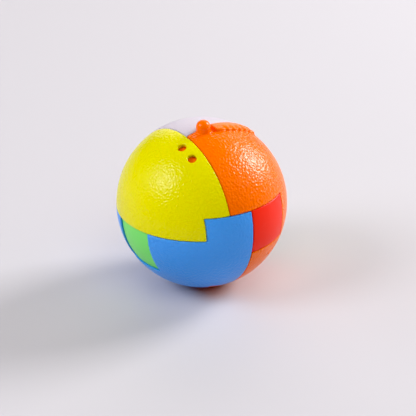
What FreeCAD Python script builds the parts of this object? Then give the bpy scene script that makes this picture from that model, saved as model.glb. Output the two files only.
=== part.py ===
"""Six-piece interlocking puzzle ball: a six-piece burr whose bars carry shells of one sphere.

The sphere is cut by planes on a square grid. Three pairs of square bars cross at its middle:
yellow over green along X, blue beside red along Y, and orange beside white along Z. Yellow, blue,
orange and white carry the shells between the bars. Red and green carry no shell and are the keys:
red slides out along Y, green slides out along +X, and the other four come apart after red is out.
Every piece is a hollow plastic moulding, closed by a flat cover on one of its hidden faces.

Units are millimetres. The origin is the lowest point of the sphere, +Z is up, and the sphere's
middle is one radius above it. Cut planes are counted in grid cells from the sphere's middle.
"""
import FreeCAD, Part
import os

OUT = 9          # a block face this many cells out lies outside the sphere, which trims it

SIZES = [
    ("radius", 30, "outer radius of the ball"),
    ("cell", 8, "half of the bars' square section, and the pitch of the cut planes"),
    ("gap", 0.1, "what each piece leaves free at a cut plane"),
    ("wall", 1.6, "wall of the hollow mouldings"),
    ("reach", 36, "half side of the blocks that the sphere trims"),
    ("lap", 3.2, "how far the white shell laps over the middle plane on top"),
    ("fit", 0.05, "side clearance of a cover in its rebate"),
    ("hole_radius", 1.5, "radius of the two holes in the yellow shell"),
    ("hole_x", 12, "both holes: distance from the middle along X"),
    ("near_hole_y", 11.8, "outer hole: distance from the middle along Y"),
    ("far_hole_y", 6, "inner hole: distance from the middle along Y"),
    ("tongue_width_start", 3.6, "orange tongue: lowest Y"),
    ("tongue_width_end", 14.5, "orange tongue: highest Y"),
    ("tongue_tip", 14.8, "orange tongue: highest X"),
    ("tongue_floor", 17.6, "orange tongue: lowest Z"),
    ("tongue_play", 0.3, "clearance of the tongue in its window"),
    ("knob_radius", 2.5, "radius of the knob's post and of its domed head"),
    ("knob_x", 1.9, "knob: distance from the middle along X"),
    ("knob_y", 4.6, "knob: distance from the middle along Y"),
    ("knob_rise", 1.1, "height of the dome's centre above the ball's top"),
    ("knob_root", 3, "length of the knob's post below the ball's top"),
    ("crest_rise", 1.0, "height of the crest above the sphere"),
    ("crest_floor", 3, "depth of the crest's root below the sphere"),
    ("crest_start", 1.7, "crest: end next to the knob, along -X"),
    ("crest_end", 19.5, "crest: far end, along -X"),
    ("crest_bend", 24, "radius of the crest's curved side"),
    ("crest_mid_x", 8, "crest: middle of its curved side, along -X"),
    ("crest_mid_y", 7.9, "crest: widest place of its curved side, along Y"),
    ("notch_floor", 0.3, "height of the notches' floor above the sphere"),
    ("notch_width", 0.8, "width of a notch in the crest"),
    ("notch_length", 2.4, "length of a notch in the crest"),
    ("notch_start", 5.4, "first notch, along -X"),
    ("notch_pitch", 2.6, "distance from notch to notch along the crest"),
    ("notch_slant", 13, "slant of the notches, in degrees"),
]
NOTCHES = 5

# Blocks as (x low, x high, y low, y high, z low, z high) in cells. Each is as large as its piece
# allows, so that the blocks of one piece still overlap after every cut face has been drawn in.
RED = [(-2, 0, -OUT, OUT, -1, 1)]
GREEN = [
    (-OUT, OUT, -1, 1, -2, -1),
    (0, OUT, -1, 1, -2, 0),
]
YELLOW = [
    (-OUT, OUT, -1, 1, 1, 2),          # bar
    (-OUT, -2, -1, 1, -1, 2),          # hook behind the red bar
    (1, OUT, -OUT, OUT, 1, OUT),       # upper shell
    (2, OUT, -OUT, OUT, 0, OUT),       # shell in front of the blue bar
]
BLUE_HALF = [
    (0, 2, 2, OUT, -OUT, 1),           # bar's end
    (0, OUT, 2, OUT, -OUT, 0),
    (1, 2, 1, OUT, -OUT, 1),           # bar beside the orange notch
    (1, OUT, 1, OUT, -OUT, 0),
]
BLUE_MIDDLE = [
    (0, 2, -1, 1, 0, 1),               # bar over the green key
    (1, 2, -OUT, OUT, 0, 1),
    (1, OUT, -OUT, OUT, -OUT, -2),     # shell under the green key
]
SIDE_HALF = [
    (-OUT, 1, 1, OUT, 1, OUT),         # upper shell
    (-OUT, -2, 1, OUT, -OUT, OUT),     # side wall
    (-OUT, 0, 1, OUT, -OUT, -1),       # lower shell
    (-OUT, 1, 1, 2, -OUT, -1),
    (-OUT, 1, 0, 2, -OUT, -2),
    (-OUT, 0, 0, OUT, -OUT, -2),
    (0, 1, 1, 2, -OUT, OUT),           # upright bar through the blue bar's notch
]


def mirrored(blocks):
    """The same blocks on the other side of the middle plane Y = 0."""
    return [(x0, x1, -y1, -y0, z0, z1) for x0, x1, y0, y1, z0, z1 in blocks]


document = FreeCAD.newDocument("puzzle_ball")
sheet = document.addObject("Spreadsheet::Sheet", "Sizes")
for row, (alias, value, meaning) in enumerate(SIZES, start=1):
    sheet.set(f"A{row}", alias)
    sheet.set(f"B{row}", str(value))
    sheet.set(f"C{row}", meaning)
    sheet.setAlias(f"B{row}", alias)
document.recompute()


def make(kind, name, **bindings):
    """A document object with its properties bound to expressions on the sheet."""
    item = document.addObject(kind, name)
    for path, expression in bindings.items():
        item.setExpression(path.replace("__", "."), expression)
    return item


def face(place, side, inset):
    """Expression for a block's low (side -1) or high (side 1) face, drawn in by inset.

    The place is a number of cells, or the name of a length on the sheet.
    """
    if place in (OUT, -OUT):
        return f"{side} * Sizes.reach"
    plane = f"Sizes.{place}" if isinstance(place, str) else f"{place} * Sizes.cell"
    return f"{plane} - ({side}) * ({inset})"


def box(name, limits):
    """A box between six expressions: x low, x high, y low, y high, z low, z high."""
    x0, x1, y0, y1, z0, z1 = limits
    return make(
        "Part::Box", name,
        Length=f"({x1}) - ({x0})",
        Width=f"({y1}) - ({y0})",
        Height=f"({z1}) - ({z0})",
        Placement__Base__x=x0,
        Placement__Base__y=y0,
        Placement__Base__z=z0,
    )


def block(name, cells, inset):
    """A box between cut planes, drawn in by inset at each of them."""
    sides = (-1, 1, -1, 1, -1, 1)
    return box(name, [face(value, side, inset) for value, side in zip(cells, sides)])


def sphere(name, radius):
    return make("Part::Sphere", name, Radius=radius)


def fuse(name, shapes):
    if len(shapes) == 1:
        return shapes[0]
    item = make("Part::MultiFuse", name)
    item.Shapes = shapes
    item.Refine = True
    return item


def common(name, first, second):
    item = make("Part::MultiCommon", name)
    item.Shapes = [first, second]
    return item


def cut(name, base, tool):
    item = make("Part::Cut", name)
    item.Base = base
    item.Tool = tool
    return item


GAP = "Sizes.gap"
HALF_WALL = "Sizes.gap + Sizes.wall / 2"
WALL = "Sizes.gap + Sizes.wall"
TOP = "Sizes.reach"


def trimmed_blocks(name, blocks, inset, radius):
    """The piece's blocks, drawn in by inset and trimmed to a sphere."""
    parts = [block(f"{name}_block_{number}", cells, inset) for number, cells in enumerate(blocks, 1)]
    return common(name, fuse(f"{name}_blocks", parts), sphere(f"{name}_sphere", radius))


def plate(name, rectangles, plane, side, inset, depth_from, depth_to):
    """Flat rectangles at a level cut plane; depths run from the piece's face into the piece."""
    surface = f"{plane} * Sizes.cell - ({side}) * Sizes.gap"
    near = f"{surface} - ({side}) * ({depth_from})"
    far = f"{surface} - ({side}) * ({depth_to})"
    low, high = (near, far) if side < 0 else (far, near)
    parts = []
    for number, (x0, x1, y0, y1) in enumerate(rectangles, 1):
        limits = [face(x0, -1, inset), face(x1, 1, inset), face(y0, -1, inset), face(y1, 1, inset)]
        parts.append(box(f"{name}_{number}", limits + [low, high]))
    return fuse(name, parts)


def hollow(name, solid, blocks, rectangles, plane, side):
    """The solid with its inside taken out, and a stepped opening for its cover."""
    inside = trimmed_blocks(f"{name}_inside", blocks, WALL, "Sizes.radius - Sizes.wall")
    mouth = plate(f"{name}_mouth", rectangles, plane, side, WALL, "-0.5", "1.5 * Sizes.wall")
    rebate = plate(f"{name}_rebate", rectangles, plane, side, HALF_WALL, "-0.5", "Sizes.wall / 2")
    return cut(f"{name}_hollow", solid, fuse(f"{name}_space", [inside, mouth, rebate]))


def cover(name, rectangles, plane, side):
    """A flat cover: a flange that lies in the rebate and a plug that fills the mouth."""
    loose = " + Sizes.fit"
    flange = plate(f"{name}_flange", rectangles, plane, side, HALF_WALL + loose, "0", "Sizes.wall / 2")
    plug = plate(f"{name}_plug", rectangles, plane, side, WALL + loose, "Sizes.wall / 4", "1.5 * Sizes.wall")
    return fuse(f"{name}_plates", [flange, plug])


def finished(name, item):
    """Name a sub-part and stand it on the ball's lowest point."""
    item.Label = name
    item.setExpression("Placement.Base.z", "Sizes.radius")
    return item


def holes_through_yellow():
    """Two radial holes, each through the wall over the orange tongue."""
    holes = []
    for name, y in (("near_hole", "near_hole_y"), ("far_hole", "far_hole_y")):
        hole = make("Part::Cylinder", name, Radius="Sizes.hole_radius", Height="Sizes.reach")
        across = FreeCAD.Vector(sheet.hole_x, sheet.get(y), 0)
        height = (sheet.radius ** 2 - across.Length ** 2) ** 0.5
        direction = across + FreeCAD.Vector(0, 0, height)
        hole.Placement.Rotation = FreeCAD.Rotation(FreeCAD.Vector(0, 0, 1), direction)
        start = sheet.radius - 3 * sheet.wall
        hole.Placement.Base = direction.normalize() * start
        holes.append(hole)
    return holes


def tongue_window():
    """Opening in the yellow shell's flat wall, with the ball's skin left over it."""
    play = "Sizes.tongue_play"
    limits = [
        "0",
        f"Sizes.tongue_tip + {play}",
        f"Sizes.tongue_width_start - {play}",
        f"Sizes.tongue_width_end + {play}",
        f"Sizes.tongue_floor - {play}",
        TOP,
    ]
    block_ = box("window_block", limits)
    return common("window", block_, sphere("window_sphere", "Sizes.radius - Sizes.wall"))


def tongue():
    """Tongue of the orange shell that runs under the yellow shell's skin."""
    limits = [
        "Sizes.cell / 2",
        "Sizes.tongue_tip",
        "Sizes.tongue_width_start",
        "Sizes.tongue_width_end",
        "Sizes.tongue_floor",
        TOP,
    ]
    skin = "Sizes.radius - Sizes.wall - Sizes.tongue_play"
    return common("tongue", box("tongue_block", limits), sphere("tongue_sphere", skin))


def knob():
    """Round post with a domed head, beside the ball's top. Its back edge overhangs the white shell."""
    place = {"Placement__Base__x": "Sizes.knob_x", "Placement__Base__y": "Sizes.knob_y"}
    post = make(
        "Part::Cylinder", "knob_post",
        Radius="Sizes.knob_radius",
        Height="Sizes.knob_root + Sizes.knob_rise",
        Placement__Base__z="Sizes.radius - Sizes.knob_root",
        **place,
    )
    dome = make(
        "Part::Sphere", "knob_dome",
        Radius="Sizes.knob_radius",
        Placement__Base__z="Sizes.radius + Sizes.knob_rise",
        **place,
    )
    white_side = ["-Sizes.reach", TOP, "-Sizes.reach", "Sizes.lap + Sizes.gap", "0", TOP]
    over_white = common(
        "knob_over_white",
        box("knob_white_side", white_side),
        sphere("knob_clearance", "Sizes.radius + Sizes.gap"),
    )
    return cut("knob", fuse("knob_whole", [post, dome]), over_white)


def crest():
    """Low raised crest along the top cut, with slanted notches along its curved side."""
    outline = make(
        "Part::Cylinder", "crest_outline",
        Radius="Sizes.crest_bend",
        Height="Sizes.reach",
        Placement__Base__x="-Sizes.crest_mid_x",
        Placement__Base__y="Sizes.crest_mid_y - Sizes.crest_bend",
    )
    limits = [
        "-Sizes.crest_end",
        "-Sizes.crest_start",
        "Sizes.lap + Sizes.gap",
        "Sizes.reach",
        "2 * Sizes.cell + Sizes.gap",
        TOP,
    ]
    strip = common("crest_strip", outline, box("crest_block", limits))
    skin = sphere("crest_skin", "Sizes.radius + Sizes.crest_rise")
    core = sphere("crest_core", "Sizes.radius - Sizes.crest_floor")
    layer = cut("crest_layer", skin, core)
    return common("crest", strip, layer)


def crest_notches():
    """Notches in the crest's curved side, one after the other."""
    notches = []
    for number in range(NOTCHES):
        along = f"(Sizes.notch_start + {number} * Sizes.notch_pitch)"
        notch = make(
            "Part::Box", f"notch_{number + 1}",
            Length="Sizes.notch_width",
            Width="Sizes.notch_length",
            Height="Sizes.reach",
            Placement__Rotation__Angle="-Sizes.notch_slant",
            Placement__Base__x=f"-{along} - Sizes.notch_width / 2",
            Placement__Base__y=(
                "Sizes.crest_mid_y - Sizes.crest_bend - 1.6"
                f" + sqrt(Sizes.crest_bend ^ 2 - ({along} - Sizes.crest_mid_x) ^ 2)"
            ),
        )
        notches.append(notch)
    core = sphere("notch_core", "Sizes.radius + Sizes.notch_floor")
    return cut("crest_notches", fuse("notch_boxes", notches), core)


def red_key():
    solid = trimmed_blocks("red", RED, GAP, "Sizes.radius")
    place = ([(-2, 0, -2.75, 2.75)], -1, -1)
    moulding = hollow("red", solid, RED, *place)
    return [finished("red_key_bar", moulding), finished("red_key_cover", cover("red_lid", *place))]


def green_key():
    solid = trimmed_blocks("green", GREEN, GAP, "Sizes.radius")
    place = ([(-2.75, 2.75, -1, 1)], -2, -1)
    moulding = hollow("green", solid, GREEN, *place)
    return [finished("green_key_bar", moulding), finished("green_key_cover", cover("green_lid", *place))]


def yellow_piece():
    solid = trimmed_blocks("yellow", YELLOW, GAP, "Sizes.radius")
    place = ([(-2, 2, -1, 1), (1, 2, -2.75, 2.75)], 1, -1)
    shell = hollow("yellow", solid, YELLOW, *place)
    openings = fuse("yellow_openings", [tongue_window()] + holes_through_yellow())
    shell = cut("yellow_pierced", shell, openings)
    return [finished("yellow_shell", shell), finished("yellow_cover", cover("yellow_lid", *place))]


def blue_piece():
    blocks = BLUE_HALF + mirrored(BLUE_HALF) + BLUE_MIDDLE
    solid = trimmed_blocks("blue", blocks, GAP, "Sizes.radius")
    place = ([(0, 2, -1, 1), (1, 2, -2.75, 2.75)], 1, 1)
    shell = hollow("blue", solid, blocks, *place)
    return [finished("blue_shell", shell), finished("blue_cover", cover("blue_lid", *place))]


def orange_piece():
    blocks = SIDE_HALF + [(-OUT, 1, "lap", OUT, 2, OUT)]
    body = trimmed_blocks("orange", blocks, GAP, "Sizes.radius")
    place = ([(-2, 0, 1, 2.75)], 1, -1)
    shell = hollow("orange", body, blocks, *place)
    ridge = cut("crest_cut", crest(), crest_notches())
    shell = fuse("orange_whole", [shell, tongue(), knob(), ridge])
    return [finished("orange_shell", shell), finished("orange_cover", cover("orange_lid", *place))]


def white_piece():
    blocks = mirrored(SIDE_HALF) + [(-OUT, 1, -OUT, "lap", 2, OUT)]
    body = trimmed_blocks("white", blocks, GAP, "Sizes.radius")
    place = ([(-2, 0, -2.75, -1)], 1, -1)
    shell = hollow("white", body, blocks, *place)
    return [finished("white_shell", shell), finished("white_cover", cover("white_lid", *place))]


subparts = []
for piece in (red_key, green_key, yellow_piece, blue_piece, orange_piece, white_piece):
    subparts += piece()
document.recompute()

for item in document.Objects:
    if "Invalid" in item.State or "Error" in item.State:
        raise RuntimeError(f"{item.Name} failed: {item.State}")
for item in subparts:
    if item.Shape.isNull() or not item.Shape.isValid():
        raise RuntimeError(f"{item.Label} has no valid shape")

os.makedirs("parts", exist_ok=True)
for item in subparts:
    item.Shape.exportStep(f"parts/{item.Label}.step")
    size = item.Shape.BoundBox
    print(f"{item.Label}: {len(item.Shape.Solids)} solid, {item.Shape.Volume:.0f} mm3, "
          f"{size.XLength:.1f} x {size.YLength:.1f} x {size.ZLength:.1f} mm")
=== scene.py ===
"""Looks of the interlocking puzzle ball: moulded pieces with rounded edges and pebbled plastic.

Each coloured piece is one closed mesh: the blocks between the ball's cut planes, with rounded edges
and trimmed by the sphere. Blocks are counted in grid cells from the ball's middle, as on the CAD part.
Until a mesh is made, lengths are in millimetres and points are given from the ball's middle.
"""
import math

import bmesh
import bpy
import numpy as np
from mathutils import Matrix, Vector


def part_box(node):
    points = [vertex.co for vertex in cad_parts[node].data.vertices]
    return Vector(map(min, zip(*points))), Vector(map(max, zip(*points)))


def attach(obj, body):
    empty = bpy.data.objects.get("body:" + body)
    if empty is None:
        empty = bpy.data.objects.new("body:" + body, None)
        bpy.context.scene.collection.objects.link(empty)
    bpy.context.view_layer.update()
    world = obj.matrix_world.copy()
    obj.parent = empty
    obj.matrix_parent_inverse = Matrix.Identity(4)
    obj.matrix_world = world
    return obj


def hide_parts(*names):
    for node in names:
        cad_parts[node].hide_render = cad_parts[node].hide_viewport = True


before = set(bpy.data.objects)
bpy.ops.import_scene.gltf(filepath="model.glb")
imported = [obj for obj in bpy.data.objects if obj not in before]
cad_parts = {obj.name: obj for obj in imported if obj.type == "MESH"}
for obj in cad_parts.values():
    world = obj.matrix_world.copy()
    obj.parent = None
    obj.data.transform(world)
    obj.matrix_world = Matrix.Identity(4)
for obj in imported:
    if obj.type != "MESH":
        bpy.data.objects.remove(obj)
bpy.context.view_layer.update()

MM = 0.001
red_low, red_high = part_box("red_key_bar")
white_low, white_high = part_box("white_shell")
RADIUS = white_high[2] / MM / 2              # the white shell holds the ball's lowest and highest point
GAP = -red_high[0] / MM                      # the red bar's side stops short of the middle plane
CELL = -(red_high[0] + red_low[0]) / MM / 2  # the red bar is two cells wide, from the middle plane
CENTRE = Vector((0, 0, RADIUS * MM))
WALL = 1.6               # wall of the mouldings, and of the yellow skin over the tongue
EDGE = 0.16              # rounding of the moulded edges
STEP = 0.34           # spacing of the grid that the meshes are made on
ROOM = 1.5               # the grid goes this far past a piece


# ---------------------------------------------------------------- blocks of the pieces, in cells

OUT = 9                  # a block face this many cells out lies outside the sphere
LAP = 3.2 / CELL         # the white shell laps this far over the middle plane on top

RED = [(-2, 0, -OUT, OUT, -1, 1)]
GREEN = [(-OUT, OUT, -1, 1, -2, -1), (0, OUT, -1, 1, -2, 0)]
YELLOW = [
    (-OUT, OUT, -1, 1, 1, 2),
    (-OUT, -2, -1, 1, -1, 2),
    (1, OUT, -OUT, OUT, 1, OUT),
    (2, OUT, -OUT, OUT, 0, OUT),
]
BLUE_HALF = [
    (0, 2, 2, OUT, -OUT, 1),
    (0, OUT, 2, OUT, -OUT, 0),
    (1, 2, 1, OUT, -OUT, 1),
    (1, OUT, 1, OUT, -OUT, 0),
]
BLUE_MIDDLE = [
    (0, 2, -1, 1, 0, 1),
    (1, 2, -OUT, OUT, 0, 1),
    (1, OUT, -OUT, OUT, -OUT, -2),
]
SIDE_HALF = [
    (-OUT, 1, 1, OUT, 1, OUT),
    (-OUT, -2, 1, OUT, -OUT, OUT),
    (-OUT, 0, 1, OUT, -OUT, -1),
    (-OUT, 1, 1, 2, -OUT, -1),
    (-OUT, 1, 0, 2, -OUT, -2),
    (-OUT, 0, 0, OUT, -OUT, -2),
    (0, 1, 1, 2, -OUT, OUT),
]


def mirrored(blocks):
    """The same blocks on the other side of the ball's middle plane across Y."""
    return [(x0, x1, -y1, -y0, z0, z1) for x0, x1, y0, y1, z0, z1 in blocks]


BLUE = BLUE_HALF + mirrored(BLUE_HALF) + BLUE_MIDDLE
ORANGE = SIDE_HALF + [(-OUT, 1, LAP, OUT, 2, OUT)]
WHITE = mirrored(SIDE_HALF) + [(-OUT, 1, -OUT, LAP, 2, OUT)]

# Flat covers: rectangles in plan, the cut plane that they close, and 1 or -1 if they face up or down.
COVER_END = 2.75         # covers that run out towards the skin stop here
COVERS = {
    "red": ([(-2, 0, -COVER_END, COVER_END)], -1, -1),
    "green": ([(-COVER_END, COVER_END, -1, 1)], -2, -1),
    "yellow": ([(-2, 2, -1, 1), (1, 2, -COVER_END, COVER_END)], 1, -1),
    "blue": ([(0, 2, -1, 1), (1, 2, -COVER_END, COVER_END)], 1, 1),
    "orange": ([(-2, 0, 1, COVER_END)], 1, -1),
    "white": ([(-2, 0, -COVER_END, -1)], 1, -1),
}


# ---------------------------------------------------------------- solids as distance fields

def rounded_overlap(parts, rounding):
    """Overlap of solids, each given as distances, with its edges rounded."""
    lifted = [part + rounding for part in parts]
    outside = sum(np.maximum(part, 0) ** 2 for part in lifted)
    inside = np.minimum(np.maximum.reduce(lifted), 0)
    return np.sqrt(outside) + inside - rounding


def blended(first, second, fillet):
    """Union of two solids with a fillet between them."""
    lowered = np.minimum(first, fillet) - fillet, np.minimum(second, fillet) - fillet
    corner = fillet - np.sqrt(lowered[0] ** 2 + lowered[1] ** 2)
    plain = np.minimum(first, second)
    return np.where((first < fillet) & (second < fillet), np.minimum(plain, corner), plain)


def carved(solid, tool, rounding):
    """The solid with the tool cut out of it, and the cut's rim rounded."""
    return rounded_overlap([solid, -tool], rounding)


def capsule(points, start, end, radius):
    """Distance to a round-ended rod."""
    start = np.array(start)
    along = np.array(end) - start
    share = sum((points[axis] - start[axis]) * along[axis] for axis in range(3)) / (along @ along)
    share = np.clip(share, 0, 1)
    square = sum((points[axis] - start[axis] - share * along[axis]) ** 2 for axis in range(3))
    return np.sqrt(square) - radius


def out_from_middle(points):
    """How far out from the ball's middle the points lie."""
    return np.sqrt(sum(axis ** 2 for axis in points))


def cover_seat(points, rectangles, plane, side):
    """Stepped seat of a piece's flat cover, which closes it at a level cut plane."""
    beyond = 2
    surface = plane * CELL - side * GAP
    seat = None
    for inset, depth in ((WALL / 2, WALL / 2), (WALL, 1.5 * WALL)):
        for x0, x1, y0, y1 in rectangles:
            step = np.maximum.reduce([
                x0 * CELL + GAP + inset - points[0],
                points[0] - x1 * CELL + GAP + inset,
                y0 * CELL + GAP + inset - points[1],
                points[1] - y1 * CELL + GAP + inset,
                side * (surface - side * depth - points[2]),
                side * (points[2] - surface) - beyond,
            ])
            seat = step if seat is None else np.minimum(seat, step)
    return seat


def blocks_field(blocks, cover, sunk=0.0):
    """Distance field of a piece: its blocks, drawn in by the gap, inside the sphere."""
    seat_rounding = 0.1

    def field(points):
        skin = out_from_middle(points) - RADIUS + sunk
        whole = None
        for block in blocks:
            parts = [skin]
            for axis in range(3):
                low, high = block[2 * axis], block[2 * axis + 1]
                if low != -OUT:
                    parts.append(low * CELL + GAP - points[axis])
                if high != OUT:
                    parts.append(points[axis] - high * CELL + GAP)
            solid = rounded_overlap(parts, EDGE)
            whole = solid if whole is None else np.minimum(whole, solid)
        return carved(whole, cover_seat(points, *cover), seat_rounding)
    return field


# ---------------------------------------------------------------- yellow: cord holes and window

HOLES = ((12, 11.8), (12, 6))    # in plan; the holes point at the ball's middle
HOLE_RADIUS = 1.5
HOLE_RIM = 0.35                  # rounding of their rims
HOLE_REACH = (0.8, 1.2)          # start and end of the cut, as shares of the sphere's radius

TONGUE_ROOT = 4                  # the orange tongue starts inside its shell and runs along X
TONGUE_TIP = 14.8
TONGUE_SIDES = (3.6, 14.5)
TONGUE_FLOOR = 17.6
TONGUE_EDGE = 0.3
TONGUE_PLAY = 0.3                # between the tongue and the yellow piece round it
WINDOW_EDGE = 0.2

plain_yellow = blocks_field(YELLOW, COVERS["yellow"])


def yellow_field(points):
    """Yellow piece: its blocks, the two cord holes and the window for the orange tongue."""
    solid = plain_yellow(points)
    for x, y in HOLES:
        mouth = (x, y, math.sqrt(RADIUS ** 2 - x ** 2 - y ** 2))
        inner, outer = [[value * share for value in mouth] for share in HOLE_REACH]
        solid = carved(solid, capsule(points, inner, outer, HOLE_RADIUS), HOLE_RIM)
    window = [
        out_from_middle(points) - (RADIUS - WALL),
        points[0] - (TONGUE_TIP + TONGUE_PLAY),
        TONGUE_SIDES[0] - TONGUE_PLAY - points[1],
        points[1] - (TONGUE_SIDES[1] + TONGUE_PLAY),
        TONGUE_FLOOR - TONGUE_PLAY - points[2],
    ]
    return carved(solid, rounded_overlap(window, WINDOW_EDGE), WINDOW_EDGE)


# ---------------------------------------------------------------- orange: tongue, knob and crest

KNOB = (1.9, 4.6)                # in plan
KNOB_RADIUS = 2.5
KNOB_RISE = 1.1                  # the middle of its round end lies this high over the ball's radius
KNOB_FILLET = 0.35
ROOT = 3                         # the knob and the crest reach this deep under the skin

CREST_RISE = 1.0
CREST_ENDS = (-21.5, -1.7)       # along X
CREST_FRONT = (-8, 7.9, 24)      # foremost point of its front edge, and the radius of that edge's arc
CREST_EDGE = 0.35
CREST_FILLET = 0.2
CREST_RAMP = 2.5                 # from its far end the crest climbs to its full rise over this length
FLUTE_START = -5.4
FLUTE_PITCH = 2.6
FLUTE_DEPTH = 0.55
FLUTE_BITE = 0.4                 # how far the flutes cut back the front edge
FLUTE_REACH = 2.4                # the flutes fade out this far behind the front edge
FLUTE_LEAN = (0.35, 0.043)       # how much they lean along X behind the front edge, and curl back

plain_orange = blocks_field(ORANGE, COVERS["orange"])


def crest_field(points):
    """Crest along the top cut: a low band with leaning flutes that fade out behind its front edge."""
    x, y, z = points
    foremost_x, foremost_y, bend = CREST_FRONT
    side = np.sqrt((x - foremost_x) ** 2 + (y - foremost_y + bend) ** 2) - bend
    behind = np.clip(-side, -0.5, 5)
    lean, curl = FLUTE_LEAN
    turn = (x + lean * behind - curl * behind ** 2 - FLUTE_START) / FLUTE_PITCH
    valley = np.where(turn < 0.5, np.cos(math.pi * turn) ** 2, 0)
    depth = FLUTE_DEPTH * np.clip(1 - behind / FLUTE_REACH, 0, 1)
    start, end = CREST_ENDS
    rise = CREST_RISE * np.clip((x - start) / CREST_RAMP, 0.1, 1) ** 0.5
    limits = [
        side + FLUTE_BITE * valley,
        x - end,
        start - x,
        LAP * CELL + GAP - y,
        out_from_middle(points) - RADIUS - rise + depth * valley,
        RADIUS - ROOT - out_from_middle((x, y, np.maximum(z, 0))),
    ]
    return rounded_overlap(limits, CREST_EDGE)


def knob_field(points):
    """Round knob, cut away where it would sink into the white shell beside it."""
    x, y = KNOB
    knob = capsule(points, (x, y, RADIUS - ROOT), (x, y, RADIUS + KNOB_RISE), KNOB_RADIUS)
    white = np.maximum(points[1] - LAP * CELL - GAP, out_from_middle(points) - RADIUS - GAP)
    return np.maximum(knob, -white)


def orange_field(points):
    """Orange piece: its blocks, the tongue, the knob and the crest."""
    tongue = [
        TONGUE_ROOT - points[0],
        points[0] - TONGUE_TIP,
        TONGUE_SIDES[0] - points[1],
        points[1] - TONGUE_SIDES[1],
        TONGUE_FLOOR - points[2],
        out_from_middle(points) - (RADIUS - WALL - TONGUE_PLAY),
    ]
    solid = np.minimum(plain_orange(points), rounded_overlap(tongue, TONGUE_EDGE))
    solid = blended(solid, knob_field(points), KNOB_FILLET)
    return blended(solid, crest_field(points), CREST_FILLET)


# ---------------------------------------------------------------- meshes from the fields

CORNERS = [(i, j, k) for i in (0, 1) for j in (0, 1) for k in (0, 1)]


def corner_values(inside, corner):
    """For each cell of the grid, whether this corner of it is inside the solid."""
    return inside[tuple(slice(first, first + size - 1) for first, size in zip(corner, inside.shape))]


def cell_points(values, cells):
    """One point in each crossed cell, in cells: the mean of where the surface cuts the cell's edges."""
    points = np.zeros((len(cells), 3))
    cuts = np.zeros(len(cells))
    for first in CORNERS:
        for axis in range(3):
            if first[axis]:
                continue
            second = list(first)
            second[axis] = 1
            a = values[tuple((cells + first).T)]
            b = values[tuple((cells + second).T)]
            cut = (a < 0) != (b < 0)
            place = np.array(first, dtype=float) + np.zeros((cut.sum(), 3))
            place[:, axis] = a[cut] / (a[cut] - b[cut])
            points[cut] += place
            cuts[cut] += 1
    return cells + points / cuts[:, None]


def quads_across(inside, number, axis):
    """Quads round those grid edges along one axis that the surface cuts."""
    one, two = (axis + 1) % 3, (axis + 2) % 3
    lower = [slice(None)] * 3
    upper = [slice(None)] * 3
    lower[axis] = slice(0, -1)
    upper[axis] = slice(1, None)
    edges = np.argwhere(inside[tuple(lower)] != inside[tuple(upper)])
    keep = (edges[:, one] > 0) & (edges[:, two] > 0)
    keep &= (edges[:, one] < inside.shape[one] - 1) & (edges[:, two] < inside.shape[two] - 1)
    edges = edges[keep]
    around = []
    for back_one, back_two in ((1, 1), (0, 1), (0, 0), (1, 0)):
        cell = edges.copy()
        cell[:, one] -= back_one
        cell[:, two] -= back_two
        around.append(number[tuple(cell.T)])
    quads = np.stack(around, axis=1)
    flip = ~inside[tuple(edges.T)]
    quads[flip] = quads[flip][:, ::-1]
    return quads


def surface_net(values, origin):
    """Points and quads on the zero surface of a grid of distances: one point in each crossed cell."""
    inside = values < 0
    count = sum(corner_values(inside, corner).astype(np.int8) for corner in CORNERS)
    crossed = (count > 0) & (count < 8)
    cells = np.argwhere(crossed)
    number = np.full(crossed.shape, -1, dtype=np.int64)
    number[crossed] = np.arange(len(cells))
    points = cell_points(values, cells) * STEP + origin
    return points, np.concatenate([quads_across(inside, number, axis) for axis in range(3)])


def settled(points, field):
    """Points moved onto the field's zero surface, and their outward normals."""
    rounds = 4
    reach = 0.02
    gentlest = 0.3
    start = points
    for _ in range(rounds):
        slope = []
        for axis in range(3):
            ahead, behind = [part.copy() for part in points.T], [part.copy() for part in points.T]
            ahead[axis] += reach
            behind[axis] -= reach
            slope.append((field(ahead) - field(behind)) / (2 * reach))
        slope = np.stack(slope, axis=1)
        length = np.maximum(np.linalg.norm(slope, axis=1), gentlest)
        normals = slope / length[:, None]
        distance = np.clip(field(list(points.T)) / length, -STEP, STEP)
        points = points - normals * distance[:, None]
    strayed = np.linalg.norm(points - start, axis=1) > STEP
    points[strayed] = start[strayed]
    return points, normals


def grid_limits(blocks):
    """Limits of the grid round a piece's blocks."""
    low, high = [], []
    for axis in range(3):
        faces = [block[2 * axis] for block in blocks], [block[2 * axis + 1] for block in blocks]
        low.append(max(min(faces[0]) * CELL, -RADIUS) - ROOM)
        high.append(min(max(faces[1]) * CELL, RADIUS) + ROOM)
    return low, high


def share_of_skin(points, normals):
    """1 on the ball's outer skin, and 0 on the cut faces, their rounded edges, the knob and the crest."""
    out = np.linalg.norm(points, axis=1)
    facing = np.sum(normals * points, axis=1) / out
    return np.clip((facing - 0.9) / 0.08, 0, 1) * np.clip(1 - np.abs(RADIUS - out) / EDGE, 0, 1)


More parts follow.
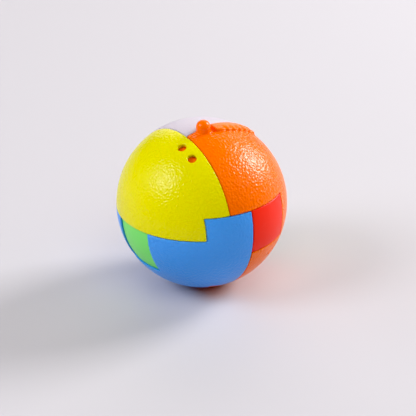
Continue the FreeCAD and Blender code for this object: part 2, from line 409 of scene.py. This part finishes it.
def piece_mesh(name, field, low, high):
    """Mesh object of a distance field, with its share of skin stored at each point."""
    sharp_from = math.radians(35)
    axes = [np.arange(low[axis], high[axis] + STEP, STEP) for axis in range(3)]
    values = field(np.meshgrid(*axes, indexing="ij"))
    points, quads = surface_net(values, np.array(low))
    points, normals = settled(points, field)
    mesh = bpy.data.meshes.new(name)
    mesh.vertices.add(len(points))
    mesh.vertices.foreach_set("co", (points * MM + np.array(CENTRE)).ravel())
    mesh.loops.add(quads.size)
    mesh.loops.foreach_set("vertex_index", quads.ravel())
    mesh.polygons.add(len(quads))
    mesh.polygons.foreach_set("loop_start", np.arange(0, quads.size, 4))
    mesh.update(calc_edges=True)
    mesh.validate()
    mesh.shade_smooth()
    mesh.set_sharp_from_angle(angle=sharp_from)
    skin = mesh.attributes.new("skin", "FLOAT", "POINT")
    skin.data.foreach_set("value", share_of_skin(points, normals))
    piece = bpy.data.objects.new(name, mesh)
    bpy.context.collection.objects.link(piece)
    return piece


# ---------------------------------------------------------------- materials

def link(tree, source, target):
    tree.links.new(source, target)


def node(tree, kind, **settings):
    item = tree.nodes.new(kind)
    for name, value in settings.items():
        setattr(item, name, value)
    return item


def blotchy_look(tree, shader, place, colour, pale, roughness):
    """Colour and roughness that vary a little, in fine blotches."""
    blotch = node(tree, "ShaderNodeTexNoise")
    blotch.inputs["Scale"].default_value = 90
    blotch.inputs["Detail"].default_value = 3
    link(tree, place.outputs["Object"], blotch.inputs["Vector"])

    amount = node(tree, "ShaderNodeMapRange")
    amount.inputs["From Min"].default_value = 0.35
    amount.inputs["From Max"].default_value = 0.75
    amount.inputs["To Max"].default_value = 0.12
    link(tree, blotch.outputs["Fac"], amount.inputs["Value"])
    tint = node(tree, "ShaderNodeMix", data_type="RGBA")
    tint.inputs["A"].default_value = (*colour, 1)
    tint.inputs["B"].default_value = (*pale, 1)
    link(tree, amount.outputs["Result"], tint.inputs["Factor"])
    link(tree, tint.outputs["Result"], shader.inputs["Base Color"])

    rough = node(tree, "ShaderNodeMapRange")
    rough.inputs["To Min"].default_value = roughness - 0.04
    rough.inputs["To Max"].default_value = roughness + 0.06
    link(tree, blotch.outputs["Fac"], rough.inputs["Value"])
    link(tree, rough.outputs["Result"], shader.inputs["Roughness"])


def pebble_grain(tree, shader, place, grain):
    """Fine pebble grain on the outer skin, this many millimetres deep."""
    outside = node(tree, "ShaderNodeAttribute", attribute_name="skin")
    pebble = node(tree, "ShaderNodeTexNoise")
    pebble.inputs["Scale"].default_value = 1300
    pebble.inputs["Detail"].default_value = 0
    link(tree, place.outputs["Object"], pebble.inputs["Vector"])
    height = node(tree, "ShaderNodeMath", operation="MULTIPLY")
    link(tree, pebble.outputs["Fac"], height.inputs[0])
    link(tree, outside.outputs["Fac"], height.inputs[1])
    bump = node(tree, "ShaderNodeBump")
    bump.inputs["Strength"].default_value = 1.0
    bump.inputs["Distance"].default_value = grain * MM
    link(tree, height.outputs["Value"], bump.inputs["Height"])
    link(tree, bump.outputs["Normal"], shader.inputs["Normal"])


def moulded_plastic(name, colour, pale, grain, roughness):
    """Moulded plastic: faint blotches between two close colours, and pebble grain on the outside."""
    material = bpy.data.materials.new(name)
    material.use_nodes = True
    tree = material.node_tree
    shader = tree.nodes["Principled BSDF"]
    shader.inputs["IOR"].default_value = 1.45
    shader.inputs["Specular IOR Level"].default_value = 0.32
    shader.inputs["Subsurface Weight"].default_value = 0.12
    shader.inputs["Subsurface Radius"].default_value = (0.002, 0.0012, 0.0008)
    shader.inputs["Subsurface Scale"].default_value = 1.0
    place = node(tree, "ShaderNodeTexCoord")
    blotchy_look(tree, shader, place, colour, pale, roughness)
    pebble_grain(tree, shader, place, grain)
    return material


MATERIALS = {
    "yellow": moulded_plastic("yellow_plastic", (0.77, 0.71, 0.0), (0.82, 0.77, 0.01), 0.17, 0.26),
    "orange": moulded_plastic("orange_plastic", (1.0, 0.16, 0.0), (1.0, 0.23, 0.01), 0.25, 0.27),
    "blue": moulded_plastic("blue_plastic", (0.062, 0.33, 0.90), (0.09, 0.37, 0.94), 0.2, 0.32),
    "white": moulded_plastic("white_plastic", (0.55, 0.49, 0.57), (0.60, 0.55, 0.60), 0.05, 0.42),
    "red": moulded_plastic("red_plastic", (0.88, 0.018, 0.0), (0.94, 0.03, 0.01), 0.02, 0.38),
    "green": moulded_plastic("green_plastic", (0.20, 0.78, 0.16), (0.26, 0.84, 0.22), 0.02, 0.40),
}


# ---------------------------------------------------------------- pieces

GREEN_SUNK = 0.6         # the green key's ends lie this far under the sphere
PIECES = [
    ("red", "key_bar", "red_key", RED, blocks_field(RED, COVERS["red"])),
    ("green", "key_bar", "green_key", GREEN, blocks_field(GREEN, COVERS["green"], GREEN_SUNK)),
    ("yellow", "shell", "ball", YELLOW, yellow_field),
    ("blue", "shell", "ball", BLUE, blocks_field(BLUE, COVERS["blue"])),
    ("orange", "shell", "ball", ORANGE, orange_field),
    ("white", "shell", "ball", WHITE, blocks_field(WHITE, COVERS["white"])),
]

for colour, form, body, blocks, field in PIECES:
    low, high = grid_limits(blocks)
    if colour == "orange":
        high[0] = TONGUE_TIP + ROOM
        high[2] = RADIUS + KNOB_RISE + KNOB_RADIUS + ROOM
    piece = piece_mesh(f"{colour}_{form}_moulding", field, low, high)
    piece.data.materials.append(MATERIALS[colour])
    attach(piece, body)
    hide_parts(f"{colour}_{form}")
    stem = f"{colour}_key" if form == "key_bar" else colour
    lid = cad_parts[stem + "_cover"]
    lid.data.materials.clear()
    lid.data.materials.append(MATERIALS[colour])


# ---------------------------------------------------------------- stage, camera and light

def stage_material():
    """Pale matt paper."""
    material = bpy.data.materials.new("pale_floor")
    material.use_nodes = True
    shader = material.node_tree.nodes["Principled BSDF"]
    shader.inputs["Base Color"].default_value = (0.558, 0.535, 0.572, 1)
    shader.inputs["Roughness"].default_value = 0.7
    return material


FLOOR_HALF = 4           # metres from the floor's middle to its sides
floor_mesh = bpy.data.meshes.new("floor")
shape = bmesh.new()
bmesh.ops.create_grid(shape, x_segments=2, y_segments=2, size=FLOOR_HALF)
shape.to_mesh(floor_mesh)
shape.free()
floor = bpy.data.objects.new("floor", floor_mesh)
bpy.context.collection.objects.link(floor)
floor_mesh.materials.append(stage_material())

AZIMUTH = math.radians(144.35)
ELEVATION = math.radians(27.05)
ROLL = math.radians(-1.22)
DISTANCE = 20 * RADIUS * MM
SENSOR = 36              # width in mm
FOCUS = 147.6            # in mm
BALL_LEFT = 2.21 * MM    # the ball stands this far left of the picture's middle, and this far above it
BALL_UP = 2.14 * MM

back = Vector((
    math.sin(AZIMUTH) * math.cos(ELEVATION),
    -math.cos(AZIMUTH) * math.cos(ELEVATION),
    math.sin(ELEVATION),
))
level = Vector((0, 0, 1)).cross(back).normalized()
right = level * math.cos(ROLL) + back.cross(level) * math.sin(ROLL)
up = back.cross(right)
camera_data = bpy.data.cameras.new("camera")
camera_data.lens = FOCUS
camera_data.sensor_width = SENSOR
camera = bpy.data.objects.new("camera", camera_data)
bpy.context.collection.objects.link(camera)
stand = CENTRE + back * DISTANCE + right * BALL_LEFT - up * BALL_UP
camera.matrix_world = Matrix.Translation(stand) @ Matrix((right, up, back)).transposed().to_4x4()
bpy.context.scene.camera = camera


def softbox(name, direction, distance, size, power, colour, reflected=True):
    """Square area light that shines on the ball from a direction given right, up and towards the camera.

    One that isn't reflected lights the plastic evenly and leaves no glint on it.
    """
    data = bpy.data.lights.new(name, "AREA")
    data.shape = "SQUARE"
    data.size = size
    data.energy = power
    data.color = colour
    lamp = bpy.data.objects.new(name, data)
    bpy.context.collection.objects.link(lamp)
    towards = (right * direction[0] + up * direction[1] + back * direction[2]).normalized()
    lamp.location = CENTRE + towards * distance
    lamp.visible_glossy = reflected
    lamp.rotation_euler = towards.to_track_quat("Z", "Y").to_euler()


softbox("key", (0.766, 0.62, -0.168), 1.2, 0.45, 16.2, (1, 1, 0.99))
softbox("fill", (-0.74, 0.43, 0.517), 1.2, 0.5, 7.4, (0.96, 0.98, 1))
softbox("back", (0, 0.75, -0.6), 1.3, 1.0, 5.8, (1, 0.95, 0.92))
softbox("front", (0.1, 0.45, 0.9), 1.3, 1.0, 8.2, (1, 1, 0.94), reflected=False)
softbox("left", (-0.95, 0.35, -0.1), 1.3, 0.8, 4.8, (1, 0.96, 0.97), reflected=False)
softbox("right", (0.8, 0.35, 0.5), 1.3, 0.8, 1.4, (0.98, 0.95, 1))

world = bpy.data.worlds.new("studio")
world.use_nodes = True
sky = world.node_tree.nodes["Background"]
sky.inputs["Color"].default_value = (0.93, 0.92, 1, 1)
sky.inputs["Strength"].default_value = 0.04
bpy.context.scene.world = world
picture = bpy.context.scene.view_settings
picture.view_transform = "Standard"
picture.use_curve_mapping = True
picture.curve_mapping.black_level = (0.012, 0.012, 0.012)
